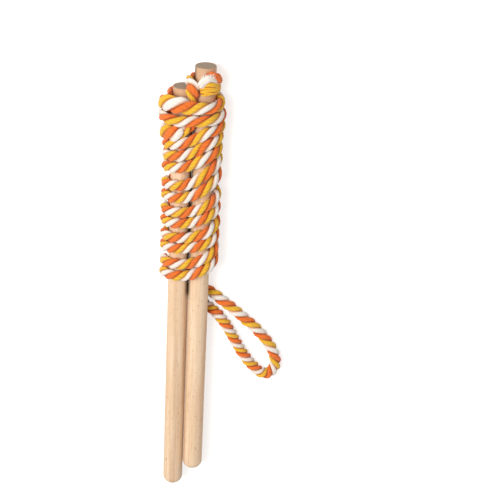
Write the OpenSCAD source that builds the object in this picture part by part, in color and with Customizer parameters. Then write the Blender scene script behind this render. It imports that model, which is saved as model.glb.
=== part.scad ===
// A pair of wooden bubble wands, put away with their rope wound round both.
// The sticks lie side by side along Y, tips towards +Y, on the turns of rope under them.
// The origin is on the floor, under the middle of the whole length.

/* [Sticks] */
// Diameter of a stick
stick_d = 19; // [17:0.5:21]
// Length of a stick
stick_l = 420; // [400:5:450]
// How far the right stick's tip stands beyond the left stick's
stagger = 20; // [18:1:30]
// Clearance between the two sticks
stick_gap = 0.3; // [0.2:0.1:0.8]
// Radius of the rounding at the handle end
handle_round = 8.5; // [4:0.5:8.5]
// Height and width of the broken edge at the sawn tip
tip_break = 0.5; // [0.2:0.1:1.5]

/* [Rope] */
// Diameter of the rope where it lies free
rope_d = 11; // [9:0.5:12]
// Width of the rope along the sticks where the turns squash it
wound_w = 10; // [9:0.25:10.5]
// Thickness of the rope where the turns squash it
wound_t = 8; // [7:0.25:9]
// Clearance between the turns and the sticks
seat_gap = 0.4; // [0.2:0.1:0.6]
// Depth of the flat on which the turns lie
floor_flat = 0.8; // [0.4:0.1:1.2]

/* [Winding] */
// Distance from the left stick's tip down to the middle of the first whole turn
winding_start = 16; // [15:0.5:40]
// How far the first two turns bulge at the left, where they are slack
slack_bulge = 4; // [0:0.5:5]
// Clearance between a turn and the rope that it crosses
cross_gap = 0.3; // [0.2:0.1:0.8]

/* [Hidden] */

stick_r = stick_d / 2;
half_w = wound_w / 2;
half_t = wound_t / 2;
// Distance of each stick's axis from the middle plane
core_x = stick_r + stick_gap / 2;
// Largest angle round a stick from one ring of a turn to the next, and how far a facet sinks in it
ring_angle = 22;
facet_sink = (stick_r + seat_gap) * (1 / cos(ring_angle / 2) - 1);
// Distance from a stick's axis to the middle of a turn
seat_r = stick_r + seat_gap + facet_sink + half_t;
// Height of the sticks' axes over the floor
axis_z = seat_r + half_t - floor_flat;
// The whole length is centred on the origin
right_tip_y = (stick_l + stagger) / 2;
left_tip_y = right_tip_y - stagger;
// Height from which the turns are counted, at the middle of the first whole turn
first_turn_y = left_tip_y - winding_start;

stick_facets = 96;
rings_per_turn = 24;
places_per_turn = 8;
rings_per_place = rings_per_turn / places_per_turn;
quarter_arc = PI / 2 * seat_r;
turn_length = 4 * core_x + 4 * quarter_arc;

// Outline of a squashed tube: across the stick's length, then outward, as shares of its half sizes
tube_shares = [[1, 0], [0.52, 1], [-0.52, 1], [-1, 0], [-0.52, -1], [0.52, -1]];

// Height of the left rope at each eighth of a turn, in rope widths down from the first whole turn.
// The columns go from the right side over the top to the left side, and back underneath.
left_turn_shares = [
    [-1.00, -0.98, -0.95, -0.95, -0.95, -0.92, -0.78, -0.52],
    [-0.30, -0.15, -0.05, -0.20, -0.25, 0.12, 0.45, 0.62],
    [0.80, 0.95, 1.08, 1.12, 1.10, 1.28, 1.55, 1.70],
    [1.90, 2.15, 3.05, 3.55, 3.82, 3.90, 3.95, 3.93],
    [4.02, 4.52, 5.40, 5.77, 5.95, 6.05, 6.20, 6.25],
    [6.50, 7.50, 8.45, 8.70, 8.80, 9.05, 9.30, 9.50],
    [9.80, 10.45, 11.05, 11.20, 11.30, 11.60, 11.95, 12.25],
    [12.60, 13.10, 13.58, 13.75, 13.90, 14.15, 14.45, 14.65],
    [15.03, 15.74, 16.40, 16.50, 16.70, 17.90, 19.40, 20.80]
];
// The same for the right rope, from its first turn round the left stick's side
right_turn_shares = [
    [1.60, 1.80, 2.02, 2.42, 2.68, 2.78, 2.84, 2.84],
    [2.95, 3.33, 4.24, 4.67, 4.88, 4.97, 5.04, 5.02],
    [5.10, 6.05, 7.18, 7.50, 7.65, 7.90, 8.15, 8.30],
    [8.60, 9.30, 9.95, 10.10, 10.20, 10.50, 10.80, 11.05],
    [11.40, 12.00, 12.52, 12.65, 12.75, 13.00, 13.30, 13.55],
    [13.90, 14.60, 15.20, 15.30, 15.50, 16.50, 17.80, 19.10]
];
// Where the last pass under the sticks heads for, in rope widths, for the left and the right rope
left_leave_share = 22.2;
right_leave_share = 20.4;
// How far the first turns of the left rope stand off, at the same eight places, as shares of the rise
// over the tail that crosses below them, and of the slack bulge
left_rise_shares = [
    [0, 0, 0, 0, 0, 0, 0, 0],
    [0, 0.5, 1, 0.5, 0, 0, 0, 0],
    [0, 0.5, 1, 0.5, 0, 0, 0, 0]
];
left_bulge_shares = [
    [0, 0, 0, 0, 0, 0, 0, 0],
    [0.1, 0.05, 0, 0.65, 1, 0.5, 0, 0],
    [0.4, 0.2, 0, 0.55, 1, 0.5, 0, 0.2],
    [0.3, 0.1, 0, 0, 0, 0, 0, 0]
];
// Width and thickness of the left rope there, as shares of the wound rope's: its end has come unlaid
// and lies flat, and its first whole turn is loose at the left
left_width_shares = [
    [1, 1, 1, 1, 1, 1, 1, 1],
    [1, 1, 1.1, 1.3, 1.35, 1.05, 1, 1]
];
left_thickness_shares = [
    [0.45, 0.45, 0.45, 0.45, 0.45, 0.65, 0.9, 1],
    [1, 1, 1, 1, 1, 1, 1, 1]
];

// Share of the full section that the tail keeps in the valley under the turns
tail_squeeze_share = 0.85;
// Height of the tail's middle over the sticks' axes, at a share of the way from the valley to an axis
function lying_z(share, squeeze) =
    let(corner_x = max(core_x * (1 - share) - tube_shares[1][0] * half_w * squeeze, 0))
    sqrt(pow(seat_r - half_t, 2) - pow(corner_x, 2)) + half_t * squeeze;
tail_top = lying_z(0, tail_squeeze_share) + half_t * tail_squeeze_share;
// How far a turn must stand off the sticks to clear the tail
tail_rise = tail_top + cross_gap + half_t - seat_r;

// Distance from a stick's axis to the middle of a flattened rope that lies on it
function on_stick(thickness) = seat_r - half_t * (1 - thickness);

// Route of the right stick's hitch from the rope's end, which has come unlaid and lies flat: round the
// right stick, past the left tip, over into the valley, down it under two turns, and out over the left
// stick. Each row holds the share of the way from the middle plane to the stick's axis, the angle
// round it from the right, the distance from it and the height in rope widths from the first turn.
hitch_rows = [
    [1, 110, on_stick(0.55), -2.15],
    [1, 90, on_stick(0.55), -2.20],
    [1, 60, on_stick(0.55), -2.15],
    [1, 30, on_stick(0.58), -2.02],
    [1, 0, on_stick(0.62), -1.92],
    [1, -30, on_stick(0.75), -1.95],
    [1, -60, on_stick(0.90), -2.03],
    [1, -90, seat_r, -2.10],
    [1, -120, seat_r, -2.12],
    [1, -150, seat_r, -2.13],
    [1, -180, seat_r, -2.13],
    [1, -205, seat_r, -2.10],
    [0.5, -245, 0.91 * seat_r, -1.86],
    [0, -270, lying_z(0, 1), -1.25],
    [0, -270, lying_z(0, tail_squeeze_share), -0.65],
    [0, -270, lying_z(0, tail_squeeze_share), 0.00],
    [0, -270, lying_z(0, tail_squeeze_share), 0.70],
    [0, -270, lying_z(0, tail_squeeze_share), 1.35],
    [-0.14, -270, lying_z(0.14, 0.86), 1.73],
    [-0.52, -270, lying_z(0.52, 0.95), 2.05],
    [-1, -270, seat_r, 2.29]
];
// Width and thickness of the rope along that route, as shares of the wound rope's
hitch_width_shares = [2.0, 2.1, 2.1, 2.0, 1.8, 1.5, 1.2, 1.05, 0.95, 0.88, 0.86, 0.9, 0.95, 0.92,
                      0.85, 0.85, 0.85, 0.85, 0.86, 0.95, 1];
hitch_thickness_shares = [0.55, 0.55, 0.55, 0.58, 0.62, 0.75, 0.90, 1, 1, 1, 1, 1, 1, 1,
                          0.85, 0.85, 0.85, 0.85, 0.86, 0.95, 1];
hitch_steps = 2;

// The free loop's middle line on the floor, chosen by eye, from the right rope's end to the left's
loop_points = [
    [18, -7], [29, -14], [42, -24], [54, -34], [65, -43], [75, -54], [83, -66], [87, -78], [84, -89],
    [75, -94], [65, -86], [55, -74], [46, -59], [38, -44], [29, -32], [18, -24]
];
loop_steps = 2;
loop_sides = 8;
// The ring at which the loop starts to swell from the squashed section, and the rings that this takes
swell_start = 1;
swell_rings = 4;

// Value at place t of a smooth curve through the list v, whose items are one step apart
function through(v, t) =
    let(n = len(v) - 1,
        i = min(max(floor(t), 0), n - 1),
        f = t - i,
        p0 = i > 0 ? v[i - 1] : 2 * v[0] - v[1],
        p1 = v[i],
        p2 = v[i + 1],
        p3 = i + 2 <= n ? v[i + 2] : 2 * v[n] - v[n - 1])
    (2 * p1 + (p2 - p0) * f + (2 * p0 - 5 * p1 + 4 * p2 - p3) * f * f
     + (3 * p1 - p0 - 3 * p2 + p3) * f * f * f) / 2;

function flat_list(rows) = [for (row = rows) for (v = row) v];

// Angle round the sticks, from the right over the top, and the core's place across, at distance s
function round_at(s) =
    let(m = s - turn_length * floor(s / turn_length),
        a = m < quarter_arc ? m
            : m < quarter_arc + 2 * core_x ? quarter_arc
            : m < 3 * quarter_arc + 2 * core_x ? m - 2 * core_x
            : m < 3 * quarter_arc + 4 * core_x ? 3 * quarter_arc
            : m - 4 * core_x,
        c = m < quarter_arc ? core_x
            : m < quarter_arc + 2 * core_x ? core_x - (m - quarter_arc)
            : m < 3 * quarter_arc + 2 * core_x ? -core_x
            : m < 3 * quarter_arc + 4 * core_x ? m - 3 * quarter_arc - 3 * core_x
            : core_x)
    [a / seat_r * 180 / PI, c];

// Item i of a flattened table of turns, or the value for the turns that it leaves out
function item_of(table, i, otherwise) =
    let(turn = floor(i / places_per_turn)) turn < len(table) ? table[turn][i % places_per_turn] : otherwise;

// Lists for one rope's turns: heights, lifts, and width and thickness shares, at each eighth of a turn
left_heights = concat(flat_list(left_turn_shares), [left_leave_share]);
right_heights = concat(flat_list(right_turn_shares), [right_leave_share]);
left_lists = [
    left_heights,
    [for (i = [0 : len(left_heights) - 1])
        item_of(left_rise_shares, i, 0) * tail_rise + item_of(left_bulge_shares, i, 0) * slack_bulge],
    [for (i = [0 : len(left_heights) - 1]) item_of(left_width_shares, i, 1)],
    [for (i = [0 : len(left_heights) - 1]) item_of(left_thickness_shares, i, 1)]
];
right_lists = [right_heights, [for (h = right_heights) 0], [for (h = right_heights) 1],
               [for (h = right_heights) 1]];

// A turn's place at t eighths: its middle, the outward direction, and its width and thickness shares
function turn_place(lists, t) =
    let(g = round_at(t * turn_length / places_per_turn),
        out = [cos(g[0]), 0, sin(g[0])],
        lift = max(through(lists[1], t), 0),
        width = through(lists[2], t),
        thickness = through(lists[3], t),
        seat = on_stick(thickness))
    [[g[1] + (seat + lift) * out[0],
      first_turn_y - through(lists[0], t) * wound_w,
      axis_z + seat * out[2] + lift * max(out[2], 0)],
     out, width, thickness];

function turn_places(lists, from, to) =
    [for (k = [round(from * rings_per_place) : round(to * rings_per_place)])
        turn_place(lists, k / rings_per_place)];

// Eighths at which the ropes start, pass from hitch to winding, and leave the sticks
left_start_place = 2 + 1 / rings_per_place;
left_joint_place = places_per_turn;
right_crest_place = 2 + 2 / rings_per_place;
right_joint_place = places_per_turn / 2;
place_below = -2 + 2 / rings_per_place;
left_end_place = places_per_turn * len(left_turn_shares) + place_below;
right_end_place = places_per_turn * len(right_turn_shares) + place_below;

function hitch_place(t) =
    let(row = through(hitch_rows, t),
        out = [cos(row[1]), 0, sin(row[1])])
    [[row[0] * core_x + row[2] * out[0], first_turn_y - row[3] * wound_w, axis_z + row[2] * out[2]],
     out, through(hitch_width_shares, t), through(hitch_thickness_shares, t)];
hitch_places = [for (k = [0 : hitch_steps * (len(hitch_rows) - 1) - 1]) hitch_place(k / hitch_steps)];

left_route = turn_places(left_lists, left_start_place, left_end_place);
right_route = concat(hitch_places, turn_places(right_lists, right_crest_place, right_end_place));
left_joint = round((left_joint_place - left_start_place) * rings_per_place);
right_joint = len(hitch_places) + round((right_joint_place - right_crest_place) * rings_per_place);

function unit(v) = v / norm(v);
function onto_floor(p) = [p[0], p[1], max(p[2], 0)];
function heading(places, i) =
    unit(places[min(i + 1, len(places) - 1)][0] - places[max(i - 1, 0)][0]);

// Ring of a squashed tube at place i, square to the route
function ring(places, i) =
    let(along = heading(places, i),
        out = unit(places[i][1] - (places[i][1] * along) * along),
        across = cross(along, out),
        a = half_w * places[i][2],
        b = half_t * places[i][3])
    [for (share = tube_shares)
        onto_floor(places[i][0] + across * share[0] * a + out * share[1] * b)];

left_rings = [for (i = [0 : len(left_route) - 1]) ring(left_route, i)];
right_rings = [for (i = [0 : len(right_route) - 1]) ring(right_route, i)];

// The free loop starts and ends where the ropes leave the sticks, and rests on the floor between
right_leave = right_route[len(right_route) - 1][0];
left_leave = left_route[len(left_route) - 1][0];
loop_places = concat([right_leave],
                     [for (p = loop_points) [p[0], p[1], right_leave[2]]],
                     [left_leave]);
loop_count = loop_steps * (len(loop_places) - 1);
function loop_swell(k) = min(max(min(k, loop_count - k) - swell_start, 0) / swell_rings, 1);
function loop_half(squashed, k) = squashed + (rope_d / 2 - squashed) * loop_swell(k);
loop_route = [for (k = [0 : loop_count])
    let(p = through(loop_places, k / loop_steps))
    [p[0], p[1], loop_half(half_t, k) - floor_flat * (1 - loop_swell(k))]];
loop_start_along = heading(right_route, len(right_route) - 1);
loop_end_along = -heading(left_route, len(left_route) - 1);

function loop_along(k) =
    k == 0 ? loop_start_along
    : k == loop_count ? loop_end_along
    : unit(loop_route[k + 1] - loop_route[k - 1]);
function loop_ring(k) =
    let(along = loop_along(k),
        across = unit(cross(along, [0, 0, 1])),
        out = cross(across, along),
        a = loop_half(half_w, k),
        b = loop_half(half_t, k))
    [for (j = [0 : loop_sides - 1])
        let(angle = (j + 0.5) * 360 / loop_sides)
        onto_floor(loop_route[k] + across * a * cos(angle) + out * b * sin(angle))];
loop_rings = [for (k = [0 : loop_count]) loop_ring(k)];

// Closed tube through a run of rings
module tube(rings) {
    n = len(rings[0]);
    m = len(rings);
    sides = [for (i = [0 : m - 2]) for (j = [0 : n - 1])
        let(a = i * n + j, b = i * n + (j + 1) % n, c = a + n, d = b + n)
        each [[a, b, d], [a, d, c]]];
    start_cap = [for (j = [1 : n - 2]) [0, j + 1, j]];
    end_cap = [for (j = [1 : n - 2]) [(m - 1) * n, (m - 1) * n + j, (m - 1) * n + j + 1]];
    polyhedron(points = [for (r = rings) each r], faces = concat(sides, start_cap, end_cap), convexity = 10);
}

function part_of(list, from, to) = [for (i = [from : to]) list[i]];

// Least distance between points of rings that lie at least half a turn apart along one tube
function least_gap(rings) =
    min([for (i = [0 : len(rings) - 1]) for (k = [i + rings_per_turn / 2 : 1 : len(rings) - 1])
        if (norm(rings[i][0] - rings[k][0]) < 2 * wound_w)
            min([for (p = rings[i]) for (q = rings[k]) norm(p - q)])]);

echo(left_rope_least_gap_to_itself = least_gap(left_rings));
echo(right_rope_least_gap_to_itself = least_gap(right_rings));

// Round stick from its rounded handle end at 0 to its sawn tip
module stick() {
    rotate([-90, 0, 0])
        rotate_extrude($fn = stick_facets)
            intersection() {
                union() {
                    translate([0, handle_round])
                        square([stick_r, stick_l - handle_round - tip_break]);
                    square([stick_r - handle_round, stick_l - tip_break]);
                    translate([stick_r - handle_round, handle_round])
                        circle(r = handle_round, $fn = stick_facets);
                    polygon([[0, stick_l - tip_break], [stick_r, stick_l - tip_break],
                             [stick_r - tip_break, stick_l], [0, stick_l]]);
                }
                square([stick_r, stick_l]);
            }
}

module left_stick() {
    color([0.96, 0.82, 0.69])
        translate([-core_x, left_tip_y - stick_l, axis_z])
            stick();
}

module right_stick() {
    color([0.93, 0.79, 0.66])
        translate([core_x, right_tip_y - stick_l, axis_z])
            stick();
}

module left_tip_hitch() {
    color([0.99, 0.74, 0.19])
        tube(part_of(left_rings, 0, left_joint));
}

module right_tip_hitch() {
    color([1, 0.94, 0.9])
        tube(part_of(right_rings, 0, right_joint));
}

module left_rope_winding() {
    color([0.96, 0.47, 0.21])
        tube(part_of(left_rings, left_joint, len(left_rings) - 1));
}

module right_rope_winding() {
    color([0.99, 0.7, 0.18])
        tube(part_of(right_rings, right_joint, len(right_rings) - 1));
}

module free_loop() {
    color([0.96, 0.47, 0.21])
        tube(loop_rings);
}

left_stick();
right_stick();
left_tip_hitch();
right_tip_hitch();
left_rope_winding();
right_rope_winding();
free_loop();
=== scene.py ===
"""Builds the looks of a pair of wooden bubble wands with their rope wound round both.

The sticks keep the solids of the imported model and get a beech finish. The rope's tubes are replaced
by laid rope of three cotton strands that follows the same route. Lengths in the route are millimetres
until a mesh is made.
"""

import math

import bpy
import numpy as np
from mathutils import Matrix, Vector


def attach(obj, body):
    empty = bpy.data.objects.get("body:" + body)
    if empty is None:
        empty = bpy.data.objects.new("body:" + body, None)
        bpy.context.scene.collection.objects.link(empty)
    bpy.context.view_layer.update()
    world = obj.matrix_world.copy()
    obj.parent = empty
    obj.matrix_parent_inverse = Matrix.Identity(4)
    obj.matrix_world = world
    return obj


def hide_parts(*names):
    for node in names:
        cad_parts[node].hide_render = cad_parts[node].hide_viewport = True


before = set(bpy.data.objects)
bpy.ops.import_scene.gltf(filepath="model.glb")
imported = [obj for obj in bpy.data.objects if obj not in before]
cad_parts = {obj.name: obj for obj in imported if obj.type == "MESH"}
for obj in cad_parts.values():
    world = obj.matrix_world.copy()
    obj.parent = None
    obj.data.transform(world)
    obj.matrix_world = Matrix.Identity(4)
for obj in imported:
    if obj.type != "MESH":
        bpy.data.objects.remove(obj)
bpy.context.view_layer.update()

bl_info = {
    "name": "Bubble wand",
    "version": (1, 0, 0),
    "blender": (4, 5, 0),
    "location": "3D View > Sidebar > Bubble wand",
    "description": "Lays the rope of a bubble wand round its sticks and finishes both",
    "category": "Add Mesh",
}

MM = 0.001


def linear(hex_colour):
    """Linear red, green and blue of an sRGB hex colour: each channel is divided by 12.92 where it is
    dark, and otherwise raised to the power 2.4 after the offset of 0.055."""
    code = hex_colour.lstrip("#")
    shares = [int(code[i : i + 2], 16) / 255 for i in (0, 2, 4)]
    return tuple(
        c / 12.92 if c <= 0.04045 else ((c + 0.055) / 1.055) ** 2.4 for c in shares
    )


def length_setting(name, description, default, low, high):
    """A length in metres that a user may change between two limits."""
    return bpy.props.FloatProperty(
        name=name, description=description, default=default, min=low, max=high, subtype="DISTANCE",
        unit="LENGTH", precision=4,
    )


def colour_setting(name, description, hex_colour):
    """A colour that a user may change, from its sRGB hex value."""
    return bpy.props.FloatVectorProperty(
        name=name, description=description, default=linear(hex_colour), size=3, min=0.0, max=1.0,
        subtype="COLOR",
    )


class RopeSettings(bpy.types.PropertyGroup):
    """Sizes and colours of the three-strand cotton rope"""

    free_diameter: length_setting(
        "Free diameter", "Diameter where the rope lies free", 0.011, 0.009, 0.012
    )
    wound_width: length_setting(
        "Wound width", "Width along the sticks where the turns squash the rope", 0.0104, 0.009, 0.0105
    )
    wound_thickness: length_setting(
        "Wound thickness", "Thickness where the turns squash the rope", 0.0082, 0.007, 0.009
    )
    lay: length_setting(
        "Lay", "Length in which a strand goes once round the free rope", 0.0215, 0.016, 0.03
    )
    yarn: length_setting(
        "Yarn width", "Width of one yarn on a strand's surface", 0.0015, 0.0006, 0.002
    )
    yarn_relief: length_setting(
        "Yarn relief", "How far the yarns stand up from the grooves between them", 0.00034, 0.0, 0.0005
    )
    strand_offset: bpy.props.FloatProperty(
        name="Strand offset",
        description="Distance of a strand's middle from the rope's, as a share of the rope's radius",
        default=0.45, min=0.3, max=0.5, subtype="FACTOR",
    )
    orange: colour_setting("Orange strand", "Dyed cotton of the orange strand", "#FF8034")
    yellow: colour_setting("Yellow strand", "Dyed cotton of the yellow strand", "#FFC53A")
    white: colour_setting("White strand", "Bleached cotton of the white strand", "#FFF5EA")


class StickSettings(bpy.types.PropertyGroup):
    """Colours and grain of the beech sticks"""

    grain: length_setting(
        "Grain width", "Width of one band of grain across a stick", 0.0016, 0.0005, 0.004
    )
    fleck: length_setting(
        "Fleck length", "Length of the short dark ray flecks of beech", 0.0034, 0.001, 0.006
    )
    pale: colour_setting("Pale wood", "Beech between the grain lines", "#FFE1BF")
    warm: colour_setting("Warm wood", "Beech along the grain lines", "#F3CAA0")
    # Also the colour of the painted shade between the sticks, at 0.22 of its brightness
    dark: colour_setting("Fleck", "Ray flecks and the edges of the pores", "#A9784F")
    # Besides a stain, this colour paints the rope's shade and its orange glow on the wood near the tips
    tip: colour_setting("Tip", "Wood that the bubble liquid has darkened at the tips", "#D2A27C")
    end_grain: colour_setting("End grain", "The sawn end", "#AE947C")


class StageSettings(bpy.types.PropertyGroup):
    """The table, the light and the camera"""

    floor: colour_setting("Table", "Colour of the table", "#DDDAD7")
    key_power: bpy.props.FloatProperty(
        name="Key lamp", description="Power of the large lamp above", default=18.2, min=0.0, unit="POWER"
    )
    sky: bpy.props.FloatProperty(
        name="Sky", description="Strength of the even light from all round", default=0.47, min=0.0
    )
    lens: bpy.props.FloatProperty(
        name="Lens", description="Focal length of the camera", default=100.8, min=20.0, unit="CAMERA"
    )


# The rope's route repeats the numbers that the solids are made from, in millimetres

STICK_R = 9.5
CORE_X = 9.65
HALF_W = 5.0
HALF_T = 4.0
SEAT_GAP = 0.4
RING_ANGLE = 22
FACET_SINK = (STICK_R + SEAT_GAP) * (1 / math.cos(math.radians(RING_ANGLE / 2)) - 1)
SEAT_R = STICK_R + SEAT_GAP + FACET_SINK + HALF_T
FLOOR_FLAT = 0.8
AXIS_Z = SEAT_R + HALF_T - FLOOR_FLAT
FIRST_TURN_Y = 184
ROPE_R = 5.5
PLACES_PER_TURN = 8
RINGS_PER_PLACE = 3
QUARTER_ARC = math.pi / 2 * SEAT_R
TURN = 4 * CORE_X + 4 * QUARTER_ARC
CORNER_SHARE = 0.52
TAIL_SQUEEZE = 0.85
SLACK_BULGE = 4
CROSS_GAP = 0.3

# Heights of each turn in rope widths below the first whole one, at eight places: from the right side
# over the top to the left side, and back underneath
LEFT_TURNS = [
    [-1.00, -0.98, -0.95, -0.95, -0.95, -0.92, -0.78, -0.52],
    [-0.30, -0.15, -0.05, -0.20, -0.25, 0.12, 0.45, 0.62],
    [0.80, 0.95, 1.08, 1.12, 1.10, 1.28, 1.55, 1.70],
    [1.90, 2.15, 3.05, 3.55, 3.82, 3.90, 3.95, 3.93],
    [4.02, 4.52, 5.40, 5.77, 5.95, 6.05, 6.20, 6.25],
    [6.50, 7.50, 8.45, 8.70, 8.80, 9.05, 9.30, 9.50],
    [9.80, 10.45, 11.05, 11.20, 11.30, 11.60, 11.95, 12.25],
    [12.60, 13.10, 13.58, 13.75, 13.90, 14.15, 14.45, 14.65],
    [15.03, 15.74, 16.40, 16.50, 16.70, 17.90, 19.40, 20.80],
]
RIGHT_TURNS = [
    [1.60, 1.80, 2.02, 2.42, 2.68, 2.78, 2.84, 2.84],
    [2.95, 3.33, 4.24, 4.67, 4.88, 4.97, 5.04, 5.02],
    [5.10, 6.05, 7.18, 7.50, 7.65, 7.90, 8.15, 8.30],
    [8.60, 9.30, 9.95, 10.10, 10.20, 10.50, 10.80, 11.05],
    [11.40, 12.00, 12.52, 12.65, 12.75, 13.00, 13.30, 13.55],
    [13.90, 14.60, 15.20, 15.30, 15.50, 16.50, 17.80, 19.10],
]
LEFT_LEAVE = 22.2
RIGHT_LEAVE = 20.4
# How far the left rope's first turns stand off there, as shares of the tail's rise and of the bulge, their
# width and thickness as shares of the wound rope's, and the millimetres that they creep towards the tip
LEFT_RISE = [[0] * 8, [0, 0.5, 1, 0.5, 0, 0, 0, 0], [0, 0.5, 1, 0.5, 0, 0, 0, 0]]
LEFT_BULGE = [
    [0] * 8,
    [0.1, 0.05, 0, 0.65, 1, 0.5, 0, 0],
    [0.4, 0.2, 0, 0.55, 1, 0.5, 0, 0.2],
    [0.3, 0.1, 0, 0, 0, 0, 0, 0],
]
LEFT_WIDTHS = [[1] * 8, [1, 1, 1.3, 1.6, 1.2, 1.05, 1, 1]]
LEFT_THICKNESSES = [[0.45, 0.45, 0.45, 0.45, 0.45, 0.65, 0.9, 1]]
LEFT_CREEP = [[0] * 8, [0, 0.2, 1.6, 2.2, -2.6, -0.8, 0, 0]]
# The same for the right rope, whose first turn bunches into a knob where it comes up between the sticks
RIGHT_BULGE = [[0, 0, 0.15, 0.5, 0.6, 0.2, 0, 0]]
RIGHT_WIDTHS = [[1, 1, 1.2, 1.45, 1.4, 1.1, 1, 1]]
RIGHT_CREEP = [[0, 0, 0.6, -0.1, -0.3, 0, 0, 0]]


def lying_z(share, squeeze):
    """Height over the sticks' axes at which a squashed rope lies: the root of the seat's radius squared
    less the corner's distance from the axis squared, plus half the rope's thickness."""
    corner = max(CORE_X * (1 - share) - CORNER_SHARE * HALF_W * squeeze, 0)
    return math.sqrt((SEAT_R - HALF_T) ** 2 - corner**2) + HALF_T * squeeze


def on_stick(thickness):
    """Distance from a stick's axis to the middle of a rope that lies on it, flattened to that share."""
    return SEAT_R - HALF_T * (1 - thickness)


TAIL_Z = lying_z(0, TAIL_SQUEEZE)
TAIL_RISE = TAIL_Z + HALF_T * TAIL_SQUEEZE + CROSS_GAP + HALF_T - SEAT_R

# The right stick's hitch: share of the way from the middle to the stick's axis, angle round it,
# distance from it, height in rope widths, and the shares of the wound rope's width and thickness
HITCH = [
    [1, 110, on_stick(0.55), -2.15, 2.0, 0.55],
    [1, 90, on_stick(0.55), -2.20, 2.1, 0.55],
    [1, 60, on_stick(0.55), -2.15, 2.1, 0.55],
    [1, 30, on_stick(0.58), -2.02, 2.0, 0.58],
    [1, 0, on_stick(0.62), -1.92, 1.8, 0.62],
    [1, -30, on_stick(0.75), -1.95, 1.5, 0.75],
    [1, -60, on_stick(0.90), -2.03, 1.2, 0.90],
    [1, -90, SEAT_R, -2.10, 1.05, 1],
    [1, -120, SEAT_R, -2.12, 0.95, 1],
    [1, -150, SEAT_R, -2.13, 0.88, 1],
    [1, -180, SEAT_R, -2.13, 0.95, 1],
    [1, -205, SEAT_R, -2.10, 1.15, 1],
    [0.5, -245, 0.91 * SEAT_R, -1.86, 1.30, 1],
    [0, -270, lying_z(0, 1), -1.25, 1.15, 1],
    [0, -270, TAIL_Z, -0.65, 0.85, 0.85],
    [0, -270, TAIL_Z, 0.00, 0.85, 0.85],
    [0, -270, TAIL_Z, 0.70, 0.85, 0.85],
    [0, -270, TAIL_Z, 1.35, 0.85, 0.85],
    [-0.14, -270, lying_z(0.14, 0.86), 1.73, 0.86, 0.86],
    [-0.52, -270, lying_z(0.52, 0.95), 2.05, 0.95, 0.95],
    [-1, -270, SEAT_R, 2.29, 1, 1],
]
# The free loop's middle line on the table, from the right rope's end to the left's
LOOP = [
    [18, -7], [29, -14], [42, -24], [54, -34], [65, -43], [75, -54], [83, -66], [87, -78], [84, -89],
    [75, -94], [65, -86], [55, -74], [46, -59], [38, -44], [29, -32], [18, -24],
]
LOOP_STEPS = 2
SWELL_START = 1
SWELL_RINGS = 4
# Rows either side over which the loop's line is evened out, so that the bight bends round
BIGHT_EASE = 6
# The lay at the loop's two ends, as shares of the free rope's, and where along it and in what share of
# it one becomes the other: the lower leg is twisted harder
LOOP_LAYS = (1.13, 0.8)
LAY_CHANGE_START, LAY_CHANGE = 0.35, 0.3

# Where the yellow strand's crest shows on top of each turn, in millimetres to the right of the middle,
# and the lay in the turn that ends there: the turns near the tips are slack and laid longer
LEFT_CRESTS = [4.8, 15.6, 7.6, 4.0, -5.7, -0.2, -4.7, -4.1]
LEFT_LAYS = [27, 29, 27, 24, 22, 21.5, 21.5, 21]
RIGHT_CRESTS = [-0.2, 4.4, 10.5, -7.2, 4.8, -0.2]
RIGHT_LAYS = [26, 25, 22.5, 22, 21.5, 21.5]
LEAVE_LAY = 23.7
# The camera looks down from the tips' side, so it meets a crest this share of a lay early
CREST_LEAD = 25 / 360
# Place on the left rope, and row of the right one's hitch, where the strands open, with the orange one
# nearest the tip at these turns, and between which they come together
LEFT_OPENS, LEFT_OPEN_TURNS = 5.2, 1 / 6
RIGHT_OPENS, RIGHT_OPEN_TURNS = 5, -1 / 6
LEFT_LOOSE, RIGHT_LOOSE = (4.4, 6.0), (4, 6)
# Row and turns at which the arm's orange strand faces out, so that its white one meets the peak in a V
ARM_ROW, ARM_TURNS = 12, -1 / 3
# The strands in the order in which they come to the crest
LEFT_ORDER = ["yellow", "orange", "white"]
RIGHT_ORDER = ["yellow", "white", "orange"]

# Each opened strand's way across the rope, half width and half thickness, in the rope's order. The left
# rope's end at the places given; the right one's change at rows of its hitch, and end at the last value
LEFT_LANES = ((-4.4, 2.0, 1.7), (0.6, 2.5, 2.2), (-2.2, 1.9, 1.6))
LEFT_ENDS = (4.2, 3.4, 4.0)
LANE_ROWS = (0, 0.5, 1, 1.5, 2, 3, 4, 5)
RIGHT_LANES = (
    ([5.4, 5.4, 4.6, 4.2, 3.4, 3.2, 3.4, 3.6],
     [3.2, 4.2, 5.6, 6.0, 6.2, 5.2, 4.4, 3.4],
     [1.9, 1.8, 1.7, 1.7, 1.7, 1.8, 1.9, 2.2], 0),
    ([1.8, 0.2, -3.4, -6.3, -5.6, -3.4, -2.6, -1.4],
     [2.6, 3.0, 3.4, 3.3, 2.4, 1.8, 2.0, 2.4],
     [2.4, 2.9, 3.2, 3.2, 2.6, 1.6, 1.8, 2.2], 0),
    ([-6.0, -7.0, -7.6, -8.4, -9.4, -5.6, -4.0, -3.8],
     [2.0, 2.0, 2.0, 2.4, 3.0, 3.2, 3.0, 2.8],
     [1.6, 1.6, 1.6, 1.8, 2.2, 2.6, 2.6, 2.5], 2.5),
)


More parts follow.
